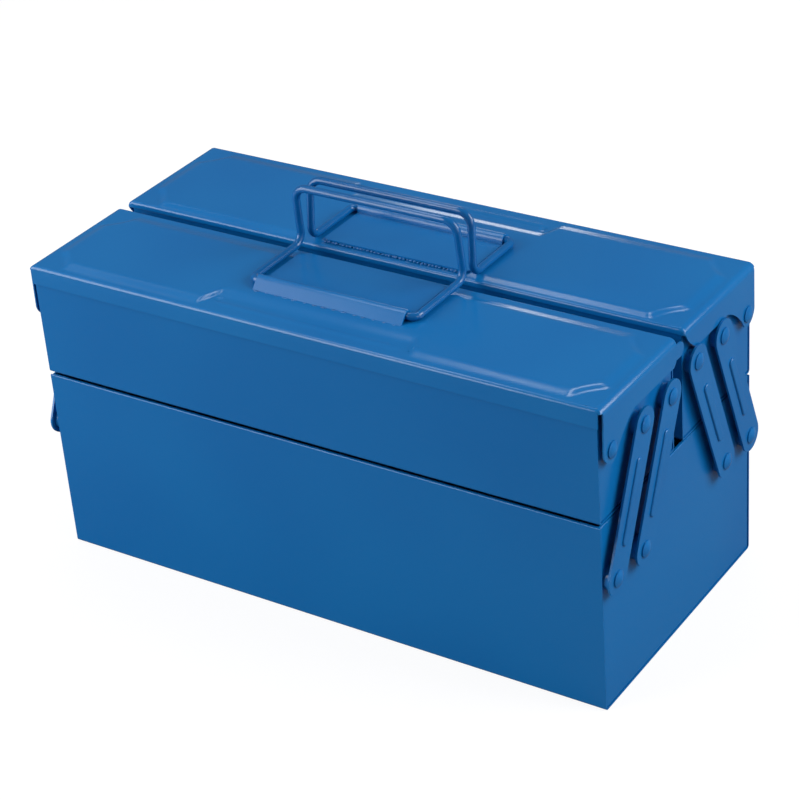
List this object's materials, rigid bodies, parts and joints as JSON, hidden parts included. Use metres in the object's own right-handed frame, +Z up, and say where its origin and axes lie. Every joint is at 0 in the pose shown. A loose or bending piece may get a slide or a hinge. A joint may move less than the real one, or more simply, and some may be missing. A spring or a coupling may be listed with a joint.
{
  "type": "cantilever tool box",
  "caption": "Sheet-steel cantilever tool box: a deep base, trays that swing out on parallel links, hinged lids and wire bail handles.",
  "frame": {"origin": "middle of the underside of the base", "axes": "+X along the length to the right end, +Y to the rear, +Z up"},
  "size_m": [0.3638, 0.1708, 0.2213],
  "materials": {
    "blue_enamel": "gloss"
  },
  "bodies": {
    "base": {"base_body": "blue_enamel", "base_end_right": "blue_enamel", "base_end_left": "blue_enamel", "base_pivot_rivets": "blue_enamel", "base_link_spacers": "blue_enamel"},
    "front_tray": {"front_tray_body": "blue_enamel", "front_tray_end_right": "blue_enamel", "front_tray_end_left": "blue_enamel", "front_tray_pivot_rivets": "blue_enamel", "front_tray_link_spacers": "blue_enamel", "front_lid_hinge_rivets": "blue_enamel"},
    "front_lid": {"front_lid": "blue_enamel", "front_handle_plate": "blue_enamel"},
    "front_bail": {"front_handle_bail": "blue_enamel"},
    "front_outer_link_right": {"front_outer_link_right": "blue_enamel"},
    "front_outer_link_left": {"front_outer_link_left": "blue_enamel"},
    "front_inner_link_right": {"front_inner_link_right": "blue_enamel"},
    "front_inner_link_left": {"front_inner_link_left": "blue_enamel"},
    "rear_tray": {"rear_tray_body": "blue_enamel", "rear_tray_end_right": "blue_enamel", "rear_tray_end_left": "blue_enamel", "rear_tray_pivot_rivets": "blue_enamel", "rear_tray_link_spacers": "blue_enamel", "rear_lid_hinge_rivets": "blue_enamel"},
    "rear_lid": {"rear_lid": "blue_enamel", "rear_handle_plate": "blue_enamel"},
    "rear_bail": {"rear_handle_bail": "blue_enamel"},
    "rear_outer_link_right": {"rear_outer_link_right": "blue_enamel"},
    "rear_outer_link_left": {"rear_outer_link_left": "blue_enamel"},
    "rear_inner_link_right": {"rear_inner_link_right": "blue_enamel"},
    "rear_inner_link_left": {"rear_inner_link_left": "blue_enamel"}
  },
  "joints": [
    {"name": "front_outer_link_right_swing", "type": "hinge", "parent": "base", "child": "front_outer_link_right", "pos_m": [0.1792, -0.076, 0.0795], "axis": [1, 0, 0], "range_deg": [0, 45]},
    {"name": "front_outer_link_left_swing", "type": "hinge", "parent": "base", "child": "front_outer_link_left", "pos_m": [-0.1792, -0.076, 0.0795], "axis": [1, 0, 0], "range_deg": [0, 45]},
    {"name": "front_inner_link_right_swing", "type": "hinge", "parent": "base", "child": "front_inner_link_right", "pos_m": [0.1792, -0.0465, 0.0795], "axis": [1, 0, 0], "range_deg": [0, 45]},
    {"name": "front_inner_link_left_swing", "type": "hinge", "parent": "base", "child": "front_inner_link_left", "pos_m": [-0.1792, -0.0465, 0.0795], "axis": [1, 0, 0], "range_deg": [0, 45]},
    {"name": "front_tray_pivot", "type": "hinge", "parent": "front_outer_link_right", "child": "front_tray", "pos_m": [0.1792, -0.044, 0.1521], "axis": [1, 0, 0], "range_deg": [-45, 0]},
    {"name": "front_lid_hinge", "type": "hinge", "parent": "front_tray", "child": "front_lid", "pos_m": [0, -0.0752, 0.1544], "axis": [1, 0, 0], "range_deg": [0, 110]},
    {"name": "front_bail_hinge", "type": "hinge", "parent": "front_lid", "child": "front_bail", "pos_m": [0.0008, -0.0502, 0.18475], "axis": [1, 0, 0], "range_deg": [0, 145]},
    {"name": "rear_outer_link_right_swing", "type": "hinge", "parent": "base", "child": "rear_outer_link_right", "pos_m": [0.1792, 0.076, 0.0795], "axis": [-1, 0, 0], "range_deg": [0, 45]},
    {"name": "rear_outer_link_left_swing", "type": "hinge", "parent": "base", "child": "rear_outer_link_left", "pos_m": [-0.1792, 0.076, 0.0795], "axis": [-1, 0, 0], "range_deg": [0, 45]},
    {"name": "rear_inner_link_right_swing", "type": "hinge", "parent": "base", "child": "rear_inner_link_right", "pos_m": [0.1792, 0.0465, 0.0795], "axis": [-1, 0, 0], "range_deg": [0, 45]},
    {"name": "rear_inner_link_left_swing", "type": "hinge", "parent": "base", "child": "rear_inner_link_left", "pos_m": [-0.1792, 0.0465, 0.0795], "axis": [-1, 0, 0], "range_deg": [0, 45]},
    {"name": "rear_tray_pivot", "type": "hinge", "parent": "rear_outer_link_right", "child": "rear_tray", "pos_m": [0.1792, 0.044, 0.1574], "axis": [-1, 0, 0], "range_deg": [-45, 0]},
    {"name": "rear_lid_hinge", "type": "hinge", "parent": "rear_tray", "child": "rear_lid", "pos_m": [0, 0.0752, 0.1544], "axis": [-1, 0, 0], "range_deg": [0, 110]},
    {"name": "rear_bail_hinge", "type": "hinge", "parent": "rear_lid", "child": "rear_bail", "pos_m": [0.0026, 0.0448, 0.18475], "axis": [-1, 0, 0], "range_deg": [0, 145]}
  ],
  "couplings": [
    {"joint": "front_outer_link_left_swing", "follows": "front_outer_link_right_swing", "ratio": 1},
    {"joint": "front_inner_link_right_swing", "follows": "front_outer_link_right_swing", "ratio": 1},
    {"joint": "front_inner_link_left_swing", "follows": "front_outer_link_right_swing", "ratio": 1},
    {"joint": "front_tray_pivot", "follows": "front_outer_link_right_swing", "ratio": -1},
    {"joint": "rear_outer_link_left_swing", "follows": "rear_outer_link_right_swing", "ratio": 1},
    {"joint": "rear_inner_link_right_swing", "follows": "rear_outer_link_right_swing", "ratio": 1},
    {"joint": "rear_inner_link_left_swing", "follows": "rear_outer_link_right_swing", "ratio": 1},
    {"joint": "rear_tray_pivot", "follows": "rear_outer_link_right_swing", "ratio": -1}
  ]
}
